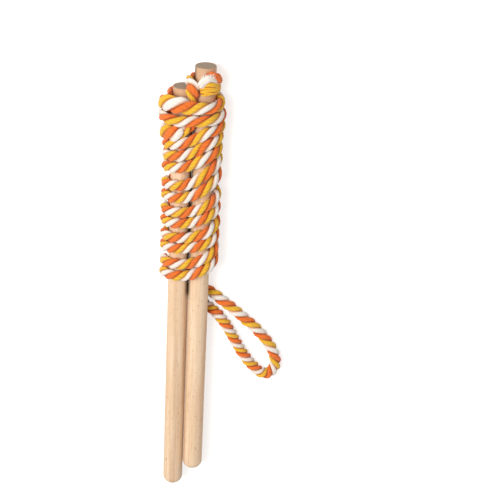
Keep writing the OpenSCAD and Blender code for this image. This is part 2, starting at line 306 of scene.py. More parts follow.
def through(values, t):
    """Catmull-Rom curve through values one step apart: at a share f past value p1, half of
    2 p1 + (p2 - p0) f + (2 p0 - 5 p1 + 4 p2 - p3) f squared + (3 p1 - p0 - 3 p2 + p3) f cubed."""
    v = np.asarray(values, float)
    t = np.asarray(t, float)
    last = len(v) - 1
    ends = np.concatenate([[2 * v[0] - v[1]], v, [2 * v[last] - v[last - 1]]])
    i = np.clip(np.floor(t).astype(int), 0, last - 1)
    f = (t - i).reshape(t.shape + (1,) * (v.ndim - 1))
    p0, p1, p2, p3 = ends[i], ends[i + 1], ends[i + 2], ends[i + 3]
    square, cube = 2 * p0 - 5 * p1 + 4 * p2 - p3, 3 * p1 - p0 - 3 * p2 + p3
    return (2 * p1 + (p2 - p0) * f + square * f**2 + cube * f**3) / 2


def eased(line, reach):
    """The line through the mean of the places up to reach rows either side, with both its ends kept."""
    before = 2 * line[0] - line[reach:0:-1]
    after = 2 * line[-1] - line[-2 : -reach - 2 : -1]
    sums = np.cumsum(np.concatenate([0 * line[:1], before, line, after]), axis=0)
    return (sums[2 * reach + 1 :] - sums[: -2 * reach - 1]) / (2 * reach + 1)


def unit(v):
    """Directions of length 1: each vector over the root of its squares' sum."""
    return v / np.linalg.norm(v, axis=-1, keepdims=True)


def between(first, second, share):
    """The first times 1 less the share, plus the second times the share."""
    return first * (1 - share) + second * share


def smooth_step(x):
    """0 below 0, 1 above 1, and 3 x squared less 2 x cubed between."""
    x = np.clip(x, 0, 1)
    return x * x * (3 - 2 * x)


def filled(table, count, otherwise):
    """A table of turns as one row of count values, with the given value for the turns it leaves out."""
    values = [v for row in table for v in row]
    return values + [otherwise] * (count - len(values))


def wound_places(turns, leave, lifts, widths, thicknesses, creep, start):
    """Places of a winding, from the eighth of a turn start to the free loop: middles, outward directions,
    width and thickness shares, and the eighths. The route goes round both sticks: a quarter circle, a
    straight of twice the core's distance, half a circle, a straight and a quarter circle."""
    stop = PLACES_PER_TURN * len(turns) - 2 + 2 / RINGS_PER_PLACE
    t = np.arange(round(start * RINGS_PER_PLACE), round(stop * RINGS_PER_PLACE) + 1) / RINGS_PER_PLACE
    m = (t * TURN / PLACES_PER_TURN) % TURN
    steps = [m < arcs * QUARTER_ARC + cores * CORE_X for arcs, cores in ((1, 0), (1, 2), (3, 2), (3, 4))]
    arc = np.select(steps, [m, QUARTER_ARC, m - 2 * CORE_X, 3 * QUARTER_ARC], m - 4 * CORE_X)
    core = np.select(
        steps, [CORE_X, CORE_X - (m - QUARTER_ARC), -CORE_X, m - 3 * QUARTER_ARC - 3 * CORE_X], CORE_X
    )
    count = PLACES_PER_TURN * len(turns) + 1
    tables = (turns, leave), (widths, 1), (thicknesses, 1), (lifts, 0), (creep, 0)
    height, width, thickness, lift, crept = (through(filled(table, count, v), t) for table, v in tables)
    lift = np.maximum(lift, 0)
    out = outward_at(arc / SEAT_R)
    seat = on_stick(thickness)
    y = FIRST_TURN_Y - height * 2 * HALF_W + crept
    z = AXIS_Z + seat * out[:, 2] + lift * np.maximum(out[:, 2], 0)
    return np.column_stack([core + (seat + lift) * out[:, 0], y, z]), out, width, thickness, t


def outward_at(a):
    """Directions at an angle round the sticks: its cosine to the right and its sine up."""
    return np.column_stack([np.cos(a), np.zeros_like(a), np.sin(a)])


def left_places():
    """Places of the left rope from its end to the free loop."""
    count = PLACES_PER_TURN * len(LEFT_TURNS)
    rises, bulges = filled(LEFT_RISE, count, 0), filled(LEFT_BULGE, count, 0)
    lifts = [[rise * TAIL_RISE + bulge * SLACK_BULGE for rise, bulge in zip(rises, bulges)]]
    start = 2 + 1 / RINGS_PER_PLACE
    return wound_places(LEFT_TURNS, LEFT_LEAVE, lifts, LEFT_WIDTHS, LEFT_THICKNESSES, LEFT_CREEP, start)


def right_places():
    """The same for the right rope: its hitch's rows, then its winding. The hitch's places are counted
    back from the winding's first by their distance along the rope."""
    rows = np.array(HITCH, float)
    steps = np.arange(0, 2 * (len(rows) - 1)) / 2
    share, angle, distance, height, width, thickness = through(rows, steps).T
    out = outward_at(np.radians(angle))
    y = FIRST_TURN_Y - height * 2 * HALF_W
    centre = np.column_stack([share * CORE_X, y, np.full_like(y, AXIS_Z)]) + distance[:, None] * out
    lifts = [[SLACK_BULGE * bulge for bulge in RIGHT_BULGE[0]]]
    start = 2 + 2 / RINGS_PER_PLACE
    winding = wound_places(RIGHT_TURNS, RIGHT_LEAVE, lifts, RIGHT_WIDTHS, [], RIGHT_CREEP, start)
    gaps = np.linalg.norm(np.diff(np.concatenate([centre, winding[0][:1]]), axis=0), axis=1)
    hitch_t = start - np.cumsum(gaps[::-1])[::-1] / (TURN / PLACES_PER_TURN)
    hitch = centre, out, width, thickness, hitch_t
    return tuple(np.concatenate(both) for both in zip(hitch, winding))


def crest_marks(crests, lays):
    """Marks on top of each turn, from where the yellow crest shows there."""
    return [
        (PLACES_PER_TURN * turn + 2, crest / lay - CREST_LEAD, lay)
        for turn, (crest, lay) in enumerate(zip(crests, lays))
    ]


def left_marks():
    """Marks of the left rope: where it opens, then each turn's crest."""
    first = (LEFT_OPENS, LEFT_OPEN_TURNS, LEFT_LAYS[0])
    crests = crest_marks([0] + LEFT_CRESTS, LEFT_LAYS[:1] + LEFT_LAYS)[1:]
    return [first] + crests


def right_marks(t):
    """Marks of the right rope, whose places are t: where it opens, its arm, then each turn's crest."""
    opens = (t[2 * RIGHT_OPENS], RIGHT_OPEN_TURNS, RIGHT_LAYS[0])
    arm = (t[2 * ARM_ROW], ARM_TURNS, RIGHT_LAYS[0])
    return [opens, arm] + crest_marks(RIGHT_CRESTS, RIGHT_LAYS)


def strand_turns(t, marks):
    """Turns that the strands have made round the rope at each place t. Each mark gives a place, the part
    of a turn there and the lay before it. From mark to mark the turns grow evenly by the whole number
    and that part that come nearest to the lay, and after the last one by the lay of the leaving end."""
    per_place = TURN / PLACES_PER_TURN
    places, made = [marks[0][0]], [marks[0][1]]
    for place, part, lay in marks[1:]:
        guess = made[-1] + (place - places[-1]) * per_place / lay
        made.append(part + round(guess - part))
        places.append(place)
    before = made[0] + (t - places[0]) * per_place / marks[0][2]
    after = made[-1] + (t - places[-1]) * per_place / LEAVE_LAY
    inside = np.interp(t, places, made)
    return np.where(t < places[0], before, np.where(t > places[-1], after, inside))


def finer(values, times):
    """The same values with times - 1 more between each two, on a Catmull-Rom curve."""
    count = len(values) - 1
    return through(values, np.arange(count * times + 1) / times)


def object_from(name, mesh):
    """Puts a mesh into the scene as an object at the origin."""
    piece = bpy.data.objects.new(name, mesh)
    bpy.context.scene.collection.objects.link(piece)
    return piece


def run_of(centre):
    """Distance along a line of points from its first: the sum of the steps up to each."""
    return np.concatenate([[0], np.cumsum(np.linalg.norm(np.diff(centre, axis=0), axis=1))])


def frames(centre, out):
    """Directions across and outward at each point of a route: outward is the given one less its part
    along the route, and across is the cross product of along and outward."""
    along = unit(np.gradient(centre, axis=0))
    out = unit(out - (out * along).sum(1, keepdims=True) * along)
    return np.cross(along, out), out


# Slant of the yarns across a strand, and slow waves in their phase: radians, and millimetres along and
# across that turn them by one
YARN_SLOPE = 0.8
YARN_WAVES = ((1.1, 4.3, 2.1), (0.8, 1.9, -1.3))
YARN_ROUNDNESS = 0.8
YARN_MEAN = 0.7

# Degrees and millimetres of a strand round the rope, and degrees in which its yarns rise from a groove
STRAND_ARC, STRAND_WIDTH, GROOVE_REACH = 120, 7.2, 14
STRAND_COLUMNS = 24
ROWS_PER_RING = 6
SKIN_OVERLAP = 2 * ROWS_PER_RING
# The strands' slow waves, as a share of the radius, and the millimetres in which they turn by a radian
STRAND_WAVE, STRAND_WAVE_LENGTH = 0.035, 7.3
# Millimetres in which a skin and a yarn are rounded off, and the least square of the share left there
SKIN_DOME, YARN_DOME, DOME_LEAST = 4.0, 3.0, 0.02


def beside(centre, across, out, x, y):
    """Grid of points: beside each point of a line, x across it plus y outward."""
    return centre[:, None, :] + across[:, None, :] * x[:, :, None] + out[:, None, :] * y[:, :, None]


def dome(run, at_start, at_end, reach):
    """Share of the full section near a rounded end: root of 1 less u squared, where u runs from 1 at the
    end to 0 at the reach."""
    size = np.ones(len(run))
    for wanted, distance in ((at_start, run), (at_end, run[-1] - run)):
        if wanted:
            u = 1 - np.clip(distance / reach, 0, 1)
            size = np.minimum(size, np.sqrt(np.maximum(1 - u**2, DOME_LEAST)))
    return size


def yarn_height(u, v, yarn):
    """Height of the yarns on a strand at u across and v along it: the sine of half the phase without its
    sign, which makes round yarns and sharp grooves. Slow waves in the phase let the yarns wander."""
    phase = 2 * np.pi * (u - YARN_SLOPE * v) / (yarn * math.hypot(1, YARN_SLOPE))
    for size, along, across in YARN_WAVES:
        phase = phase + size * np.sin(v / along + u / across)
    return np.abs(np.sin(phase / 2)) ** YARN_ROUNDNESS


def laid_skin(centre, across, out, half_w, half_t, turns, settings, domes=(False, False)):
    """Closed surface of three laid strands along a route. The angle from the outward direction is the
    strand's own angle less the turns made, so the strands run left-handed. At an angle a from a strand's
    crest the surface lies at c cos a + sqrt((1 - c) squared - (c sin a) squared) of the rope's half
    sizes, a circle of radius 1 - c about a point at c. Slow waves make the strands a little uneven, and
    the yarns stand up from the surface."""
    j = np.arange(3 * STRAND_COLUMNS)
    strand = j // STRAND_COLUMNS
    own = np.radians(STRAND_ARC) * (j % STRAND_COLUMNS / STRAND_COLUMNS - 0.5)
    from_crest = np.abs(np.degrees(own))
    c = settings.strand_offset
    shape = c * np.cos(own) + np.sqrt((1 - c) ** 2 - (c * np.sin(own)) ** 2)
    run = run_of(centre)
    angle = (np.radians(STRAND_ARC) * strand + own)[None, :] - 2 * np.pi * turns[:, None]
    wave = np.sin(run[:, None] / STRAND_WAVE_LENGTH + 2.1 * strand[None, :])
    uneven = 1 + STRAND_WAVE * wave * np.cos(own)[None, :]
    u = STRAND_WIDTH * np.degrees(own) / STRAND_ARC
    away_from_groove = smooth_step((STRAND_ARC / 2 - from_crest) / GROOVE_REACH)
    yarn = yarn_height(u[None, :], run[:, None], settings.yarn / MM)
    tightness = settings.wound_width / MM / 2 / np.maximum(half_w, HALF_W)
    relief = settings.yarn_relief / MM * (yarn - YARN_MEAN) * tightness[:, None]
    size = dome(run, *domes, SKIN_DOME)
    reach = shape[None, :] * uneven
    x, y = (half_w * size)[:, None] * reach * np.sin(angle), (half_t * size)[:, None] * reach * np.cos(angle)
    grid = beside(centre, across, out, x, y)
    normal = beside(0 * centre, across, out, np.sin(angle), np.cos(angle))
    grid += normal * (relief * away_from_groove[None, :])[:, :, None]
    edges = STRAND_WIDTH * (np.arange(STRAND_COLUMNS + 1) / STRAND_COLUMNS - 0.5)
    return {
        "grid": grid,
        "ends": (centre[0], centre[-1]),
        "left_u": np.tile(edges[:-1], 3),
        "right_u": np.tile(edges[1:], 3),
        "run": run,
        "crease": np.tile(from_crest / (STRAND_ARC / 2), (len(centre), 1)),
        "yarn": yarn,
        "material": strand,
    }


CORE_COLUMNS = 16
YARN_COLUMNS = 7
# How many separate yarns lie round each opened strand: yellow, then the two others in the rope's order
YARN_COUNTS = (19, 13, 13)
# An opened yarn's thickness in gaps between two, its most as a share of the strand's half thickness, and
# the core's inset in yarns
YARN_FULLNESS, YARN_MOST, CORE_INSET = 1.2, 0.6, 1.1
# Its wander in gaps, its flare and swelling in shares of the strand, the millimetres in which each turns
# by a radian or dies away, and those in which it creeps one gap round
WANDER, WANDER_LENGTH, CREEP_LENGTH = 0.33, 4.7, 40
FLARE, FLARE_LENGTH, SWELLING, SWELLING_LENGTH = 0.35, 2.5, 0.05, 3.3
# It starts up to twice this many rows late, and has a ring at every second row
LATE_ROWS, YARN_STEP = 2, 2
# Crease of each kind of tube, which sets its painted groove shade: all round on the core, on each yarn's side
# towards the core, and none on loose ends
CORE_CREASE, YARN_CREASE, FRAY_CREASE = (1, 0), (0.45, 0.45), (0.1, 0)
# Millimetres by which each row of a tube moves its pattern on, so that tubes don't match
TUBE_SHIFT = 7.3


def tube(centre, side, up, half_side, half_up, columns, material, crease):
    """Closed tube along a line: at an angle a it lies half_side sin a to the side of the line and
    half_up cos a above it, and its crease is the first value of crease less the second times cos a."""
    a = 2 * np.pi * np.arange(columns) / columns
    grid = beside(centre, side, up, half_side[:, None] * np.sin(a), half_up[:, None] * np.cos(a))
    girth = math.pi * float(np.mean(half_side + half_up))
    u = girth * np.arange(columns + 1) / columns
    return {
        "grid": grid,
        "ends": (centre[0], centre[-1]),
        "left_u": u[:-1],
        "right_u": u[1:],
        "run": run_of(centre) + TUBE_SHIFT * len(centre),
        "crease": np.tile(crease[0] - crease[1] * np.cos(a), (len(centre), 1)),
        # Painted light: the yarn tone is lightest on the tube's up side and darkest underneath
        "yarn": np.tile(0.5 + 0.5 * np.cos(a), (len(centre), 1)),
        "material": np.full(columns, material),
    }


def open_strand(centre, across, out, half_w, half_t, material):
    """One strand that has come out of the lay: a core, and its yarns lying along it. Yarn n lies on the
    strand's ellipse at the angle 2 pi n over the number of yarns, plus a slow wave. The yarns begin at
    uneven places, where they stand off and thin out. The factors of n only scatter them."""
    count = YARN_COUNTS[material]
    n = np.arange(count)
    run = run_of(centre)[:, None]
    thick = YARN_FULLNESS * math.pi * np.sqrt((half_w**2 + half_t**2) / 2) / count
    thick = np.minimum(thick, YARN_MOST * half_t)
    wander = WANDER * np.sin(run / WANDER_LENGTH + 2.4 * n)
    angle = 2 * np.pi / count * (n + wander + run / CREEP_LENGTH)
    flare = 1 + FLARE * np.exp(-run / FLARE_LENGTH) * (1 + np.sin(5.1 * n))
    wave = flare + SWELLING * np.sin(run / SWELLING_LENGTH + 1.9 * n)
    w = (half_w - thick)[:, None] * wave
    h = (half_t - thick)[:, None] * wave
    middle = beside(centre, across, out, w * np.sin(angle), h * np.cos(angle))
    outward = unit(beside(0 * centre, across, out, h * np.sin(angle), w * np.cos(angle)))
    inset = CORE_INSET * thick
    core = tube(centre, across, out, half_w - inset, half_t - inset, CORE_COLUMNS, material, CORE_CREASE)
    parts = [core]
    for k in n:
        rows = slice(int(LATE_ROWS + LATE_ROWS * math.sin(3.7 * k + material)), None, YARN_STEP)
        line = middle[rows, k]
        side, up = frames(line, outward[rows, k])
        size = thick[rows] * dome(run_of(line), True, True, YARN_DOME)
        parts.append(tube(line, side, up, size, size, YARN_COLUMNS, material, YARN_CREASE))
    return parts


FRAY_ROWS, FRAY_COLUMNS, FRAY_THINNING, FRAY_UP = 7, 6, 0.67, (0.3, 0.2, 1.0)


def fray(roots, ways, lengths, droop, thick, material):
    """Loose yarn ends. Each goes from its root along its way, droops by the square of its share of the
    length, and thins to a third of its thickness."""
    share = np.linspace(0, 1, FRAY_ROWS)
    size = thick * (1 - FRAY_THINNING * share)
    parts = []
    for root, way, length in zip(roots, ways, lengths):
        line = root + length * (share[:, None] * way + (share**2)[:, None] * droop)
        side, up = frames(line, np.tile(FRAY_UP, (FRAY_ROWS, 1)))
        parts.append(tube(line, side, up, size, size, FRAY_COLUMNS, material, FRAY_CREASE))
    return parts


# Share of its laid size at which an opening strand stays inside the skin
STRAND_FIT = 0.96


def opened_strands(centre, across, out, half_w, half_t, turns, openness, lanes):
    """The three strands where the rope comes unlaid. Each goes from its place in the lay to its lane by
    how open the rope is, from 0, laid, to 1, open, and then lies on what is under the rope. A lane holds
    its way across, half width and half thickness, and how many points it leaves bare at the end."""
    parts = []
    c = bpy.context.scene.wand_rope.strand_offset
    laid_size = STRAND_FIT * (1 - c)
    for k, (lane_across, lane_w, lane_t, bare) in enumerate(lanes):
        a = np.radians(STRAND_ARC) * k - 2 * np.pi * turns
        way_across = between(c * half_w * np.sin(a), lane_across, openness)
        way_out = between(c * half_t * np.cos(a), lane_t - half_t, openness)
        w = between(laid_size * half_w, lane_w, openness)
        h = between(laid_size * half_t, lane_t, openness)
        middle = centre + across * way_across[:, None] + out * way_out[:, None]
        strand_across, strand_out = frames(middle, out)
        on = slice(bare, None)
        parts += open_strand(middle[on], strand_across[on], strand_out[on], w[on], h[on], k)
    return parts


# Least height over the table, and the crease and the reach of the pattern in the middle of an end
TABLE_GAP, END_SHADE, END_REACH = 0.02, 0.5, 4
SHARP_ANGLE = 50


def tube_faces(part):
    """Quads between each two rows of a closed tube's grid, and a fan of triangles to the middle of each
    end: for each of the three sets the corners, their u and v in the pattern, and the materials."""
    rows, columns = part["grid"].shape[:2]
    run, left_u, right_u, material = part["run"], part["left_u"], part["right_u"], part["material"]
    j = np.arange(columns)
    nxt = (j + 1) % columns
    i, k = (n.ravel() for n in np.meshgrid(np.arange(rows - 1), j, indexing="ij"))
    here, beyond, far = i * columns, (i + 1) * columns, (rows - 1) * columns
    middle, first, last = (np.full(columns, value) for value in (rows * columns, run[0], run[-1]))
    quads = [here + k, here + nxt[k], beyond + nxt[k], beyond + k]
    quads_u, quads_v = [left_u[k], right_u[k], right_u[k], left_u[k]], [run[i]] * 2 + [run[i + 1]] * 2
    start_v, end_v = [first, first, first - END_REACH], [last, last, last + END_REACH]
    return (
        (quads, quads_u, quads_v, material[k]),
        ([nxt, j, middle], [right_u, left_u, left_u], start_v, material),
        ([far + j, far + nxt, middle + 1], [left_u, right_u, left_u], end_v, material),
    )


def rope_mesh(name, parts, materials):
    """One mesh of closed tubes, with their UVs in millimetres and the crease and yarn at each point."""
    points, loops, counts, index, uvs, creases, yarns = [], [], [], [], [], [], []
    base = 0
    for part in parts:
        flat = part["grid"].reshape(-1, 3)
        flat[:, 2] = np.maximum(flat[:, 2], TABLE_GAP)
        points.append(np.concatenate([flat, part["ends"]]))
        creases.append(np.append(part["crease"], [END_SHADE] * 2))
        yarns.append(np.append(part["yarn"], [END_SHADE] * 2))
        for corners, u, v, face_materials in tube_faces(part):
            loops.append(np.stack(corners, -1).ravel() + base)
            counts.append(np.full(len(face_materials), len(corners)))
            uvs.append(np.stack([np.stack(u, -1), np.stack(v, -1)], -1).reshape(-1, 2))
            index.append(face_materials)
        base += len(flat) + 2
    points, loops, counts, index, uvs, creases, yarns = (
        np.concatenate(values) for values in (points, loops, counts, index, uvs, creases, yarns)
    )
    mesh = bpy.data.meshes.new(name)
    mesh.vertices.add(len(points))
    mesh.loops.add(len(loops))
    mesh.polygons.add(len(counts))
    mesh.vertices.foreach_set("co", (points * MM).astype(np.float32).ravel())
    mesh.loops.foreach_set("vertex_index", loops.astype(np.int32))
    mesh.polygons.foreach_set("loop_start", (np.cumsum(counts) - counts).astype(np.int32))
    for material in materials:
        mesh.materials.append(material)
    mesh.polygons.foreach_set("material_index", index.astype(np.int32))
    mesh.polygons.foreach_set("use_smooth", np.ones(len(counts), bool))
    mesh.uv_layers.new(name="strand_mm").data.foreach_set("uv", uvs.astype(np.float32).ravel())
    for label, values in (("crease", creases), ("yarn", yarns)):
        layer = mesh.attributes.new(label, "FLOAT", "POINT")
        layer.data.foreach_set("value", values.astype(np.float32))
    mesh.update()
    mesh.validate()
    mesh.set_sharp_from_angle(angle=math.radians(SHARP_ANGLE))
    return object_from(name, mesh)


def node(tree, kind, values):
    """Adds a node of that kind to a material's tree, and returns its outputs. values gives its settings,
    and by name or number what goes into its sockets: a value, or another node's output to join."""
    made = tree.nodes.new(kind)
    for key, value in values.items():
        if isinstance(value, bpy.types.NodeSocket):
            tree.links.new(value, made.inputs[key])
        elif isinstance(key, int) or key in made.inputs:
            made.inputs[key].default_value = value
        else:
            setattr(made, key, value)
    return made.outputs


def new_material(name):
    """A material with no nodes, and its tree."""
    material = bpy.data.materials.new(name)
    material.use_nodes = True
    material.node_tree.nodes.clear()
    return material, material.node_tree


def opaque(colour, share=1.0):
    """A colour for a socket: each channel times the share, and no transparency."""
    return tuple(c * share for c in colour) + (1.0,)


# A Mix node's sockets for colours, and a range that eases in and out
SHARE, BELOW, ABOVE, MIXED = 0, 6, 7, 2
EASED = {"interpolation_type": "SMOOTHSTEP"}


def cotton(name, colour, groove_shade, depth):
    """Soft twisted cotton: yarns cross each strand at a slant and loose fibres lie along them, the grooves
    between the strands get painted shade in a darker, warmer colour, the grooves between yarns a darker
    tone, and a short fuzz lightens the edges. It has no gloss. The fibres are drawn a little wider than
    real ones, so that they show. depth is how strongly the colour varies: bleached cotton varies least."""
    material, tree = new_material(name)
    place = node(tree, "ShaderNodeUVMap", {"uv_map": "strand_mm"})["UV"]
    slant = {"Rotation": (0, 0, math.atan(YARN_SLOPE)), "Scale": (3.6, 0.45, 1.0), "Vector": place}
    along_yarns = node(tree, "ShaderNodeMapping", slant)["Vector"]
    fine = {"Scale": 1.0, "Detail": 5.0, "Roughness": 0.7, "Vector": along_yarns}
    fibres = node(tree, "ShaderNodeTexNoise", fine)["Fac"]
    patches = node(tree, "ShaderNodeTexNoise", {"Scale": 0.16, "Detail": 2.0, "Vector": place})["Fac"]
    crease = node(tree, "ShaderNodeAttribute", {"attribute_name": "crease"})["Fac"]
    yarn = node(tree, "ShaderNodeAttribute", {"attribute_name": "yarn"})["Fac"]
    tones = []
    # Where each pattern starts and is full, and how much it then darkens and lightens the dye. The yarn
    # pattern is painted shade in the grooves between yarns and a painted highlight on their crests, and on
    # loose yarns and cores it darkens the side facing down or inward
    for pattern, start, full, dark, light in (
        (yarn, 0.0, 0.85, 0.34, 0.06),
        (fibres, 0.3, 0.7, 0.17, 0.14),
        (patches, 0.3, 0.7, 0.08, 0.07),
    ):
        reach = {"From Min": start, "From Max": full, "To Min": 1 - dark * depth, "To Max": 1 + light * depth}
        tones.append(node(tree, "ShaderNodeMapRange", reach | {"Value": pattern})["Result"])
    tone = tones[0]
    for other in tones[1:]:
        tone = node(tree, "ShaderNodeMath", {"operation": "MULTIPLY", 0: tone, 1: other})["Value"]
    lit = node(tree, "ShaderNodeHueSaturation", {"Color": opaque(colour), "Value": tone})
    # Painted shade: towards the grooves between strands the dye turns to the darker, warmer groove colour
    reach = {"From Min": 0.5, "From Max": 1.0, "To Max": 0.85, "Value": crease}
    groove = node(tree, "ShaderNodeMapRange", reach | EASED)["Result"]
    layer = {"data_type": "RGBA", SHARE: groove, BELOW: lit["Color"], ABOVE: opaque(groove_shade)}
    dye_and_groove_shade = node(tree, "ShaderNodeMix", layer)[MIXED]
    bump = node(tree, "ShaderNodeBump", {"Strength": 0.8, "Distance": 0.45 * MM, "Height": fibres})
    finish = {"Roughness": 0.95, "Specular IOR Level": 0.15, "Sheen Weight": 0.28, "Sheen Roughness": 0.5}
    finish |= {"Base Color": dye_and_groove_shade, "Normal": bump["Normal"]}
    surface = node(tree, "ShaderNodeBsdfPrincipled", finish)
    node(tree, "ShaderNodeOutputMaterial", {"Surface": surface["BSDF"]})
    return material


# Metres along a stick between which the tip's darker, redder colour sets in, part stain and part painted
# shade; those between which the painted shade on the sides where the sticks face each other goes over from
# its handle strength into its stronger one under the rope, how strong the two are, and metres from the middle
# where that painted shade begins and is full
TIP_DARKENING_START, TIP_DARKENING_FULL = 0.15, 0.2
HANDLE_END, ROPE_START, HANDLE_GAP_SHADE, ROPE_GAP_SHADE = -0.012, 0.0, 0.45, 2.0
GAP_SHADE_START, GAP_SHADE_FULL = 0.0035, 0.0002


def beech(name, settings):
    """Bare sanded beech dowel: pale wood with soft grain bands and a broader figure, fine pores and short
    dark ray flecks, painted shade on the sides where the two sticks face each other, stronger under the
    rope, a darker, redder tip that is part stain and part painted shade and orange glow from the rope,
    and a browner sawn end that shows its rings. Each pattern is noise stretched along the stick. The
    pores are drawn wider than real ones, to show."""
    material, tree = new_material(name)
    spot = node(tree, "ShaderNodeTexCoord", {})
    bands, flecks = 1 / settings.grain, 1 / settings.fleck
    warm, dark = opaque(settings.warm), opaque(settings.dark)
    wood, noises = opaque(settings.pale), []
    # Each pattern's features per metre across and along the stick, the detail, roughness and distortion
    # of its noise, where it starts and is full, how strong it then is, how it rises, and its colour
    for across, along, (detail, rough, bent), (start, full, most, rise), colour in (
        (bands * 0.5, bands * 0.018, (5.0, 0.55, 0.3), (0.38, 0.68, 0.8, "SMOOTHSTEP"), warm),
        (bands * 0.24, bands * 0.008, (2.0, 0.5, 0.6), (0.52, 0.66, 0.24, "SMOOTHSTEP"), dark),
        (2600, 90, (3.0, 0.6, 0.0), (0.35, 0.75, 0.22, "LINEAR"), dark),
        (flecks * 4.2, flecks * 0.62, (1.0, 0.5, 0.0), (0.68, 0.76, 0.75, "SMOOTHSTEP"), dark),
    ):
        stretch = {"Scale": (across, along, across), "Vector": spot["Object"]}
        place = node(tree, "ShaderNodeMapping", stretch)["Vector"]
        grain = {"Scale": 1.0, "Detail": detail, "Roughness": rough, "Distortion": bent, "Vector": place}
        noises.append(node(tree, "ShaderNodeTexNoise", grain)["Fac"])
        reach = {"From Min": start, "From Max": full, "To Max": most, "Value": noises[-1]}
        share = node(tree, "ShaderNodeMapRange", reach | {"interpolation_type": rise})["Result"]
        layer = {"data_type": "RGBA", SHARE: share, BELOW: wood, ABOVE: colour}
        wood = node(tree, "ShaderNodeMix", layer)[MIXED]
    axes = node(tree, "ShaderNodeSeparateXYZ", {"Vector": spot["Object"]})
    facing = node(tree, "ShaderNodeSeparateXYZ", {"Vector": spot["Normal"]})
    off_middle = node(tree, "ShaderNodeMath", {"operation": "ABSOLUTE", 0: axes["X"]})["Value"]
    shares = []
    # What decides each, where it starts and is full, and the least and the most of it
    for source, start, full, least, most in (
        (axes["Y"], TIP_DARKENING_START, TIP_DARKENING_FULL, 0.0, 0.75),
        (off_middle, GAP_SHADE_START, GAP_SHADE_FULL, 0.0, 0.45),
        (axes["Y"], HANDLE_END, ROPE_START, HANDLE_GAP_SHADE, ROPE_GAP_SHADE),
        (facing["Y"], 0.55, 0.8, 0.0, 1.0),
    ):
        reach = {"From Min": start, "From Max": full, "To Min": least, "To Max": most, "Value": source}
        shares.append(node(tree, "ShaderNodeMapRange", reach | EASED)["Result"])
    tip_stain_and_shade, gap_shade, gap_shade_strength, sawn = shares
    # Painted shade on the sides where the two sticks face each other: weak along the handles, strong under
    # the rope
    painted_gap_shade = node(tree, "ShaderNodeMath", {"operation": "MULTIPLY", 0: gap_shade, 1: gap_shade_strength})["Value"]
    turned = {"Rotation": (0, math.radians(38), 0), "Vector": spot["Object"]}
    wave = {"Scale": 110.0, "Distortion": 3.0, "Detail": 3.0, "Detail Scale": 1.5}
    wave["Vector"] = node(tree, "ShaderNodeMapping", turned)["Vector"]
    rings = node(tree, "ShaderNodeTexWave", wave | {"wave_type": "BANDS", "bands_direction": "X"})
    pale_ring, dark_ring = opaque(settings.end_grain), opaque(settings.end_grain, 0.72)
    end = {"data_type": "RGBA", SHARE: rings["Fac"], BELOW: dark_ring, ABOVE: pale_ring}
    end_wood = node(tree, "ShaderNodeMix", end)[MIXED]
    # The tip's colour, part stain and part painted shade, and the dark colour of the painted shade between
    # the sticks
    tip_stain_and_shade_colour, gap_shade_colour = opaque(settings.tip), opaque(settings.dark, 0.22)
    for share, colour in ((tip_stain_and_shade, tip_stain_and_shade_colour), (painted_gap_shade, gap_shade_colour), (sawn, end_wood)):
        layer = {"data_type": "RGBA", SHARE: share, BELOW: wood, ABOVE: colour}
        wood = node(tree, "ShaderNodeMix", layer)[MIXED]
    pores = noises[2]
    bump = node(tree, "ShaderNodeBump", {"Strength": 0.25, "Distance": 0.08 * MM, "Height": pores})
    finish = {"Base Color": wood, "Roughness": 0.58, "Specular IOR Level": 0.35}
    surface = node(tree, "ShaderNodeBsdfPrincipled", finish | {"Normal": bump["Normal"]})
    node(tree, "ShaderNodeOutputMaterial", {"Surface": surface["BSDF"]})
    return material


TABLE_LIFT = 0.6


def table_top(name, colour):
    """Matt white table: it takes the soft shadow, and the camera sees it lifted to white."""
    material, tree = new_material(name)
    rays = node(tree, "ShaderNodeLightPath", {})
    either = {"operation": "MAXIMUM", 0: rays["Is Camera Ray"], 1: rays["Is Glossy Ray"]}
    seen = node(tree, "ShaderNodeMath", either)["Value"]
    lift = node(tree, "ShaderNodeMath", {"operation": "MULTIPLY", 0: seen, 1: TABLE_LIFT})["Value"]
    matt = node(tree, "ShaderNodeBsdfDiffuse", {"Color": opaque(colour)})["BSDF"]
    glow = node(tree, "ShaderNodeEmission", {"Color": (1, 1, 1, 1), "Strength": lift})["Emission"]
    both = node(tree, "ShaderNodeAddShader", {0: matt, 1: glow})
    node(tree, "ShaderNodeOutputMaterial", {"Surface": both["Shader"]})
    return material


# Each strand's cotton, the darker, warmer colour painted into its grooves as shade, and how strongly its
# colour varies
COTTONS = {
    "yellow": ("yellow cotton strand", "#BC611A", 0.9),
    "orange": ("orange cotton strand", "#9C3712", 0.9),
    "white": ("white cotton strand", "#D69258", 0.35),
}


def strand_materials(order):
    """The three cotton materials in the order in which the strands come to the crest along the rope."""
    settings = bpy.context.scene.wand_rope
    found = []
    for colour in order:
        name, groove_shade, depth = COTTONS[colour]
        made = bpy.data.materials.get(name)
        found.append(made or cotton(name, getattr(settings, colour), linear(groove_shade), depth))
    return found


TABLE_REACH, LAMP_SIZE = 3, 0.9
LAMP_PLACE, LAMP_AIM = Vector((-0.62, 0.5, 1.42)), Vector((0, 0.03, 0))
CAMERA_PLACE, CAMERA_AIM = Vector((0.1286, 0.6035, 1.1878)), Vector((0.0566, 0.0445, 0.0170))
CAMERA_ROLL = 2.99


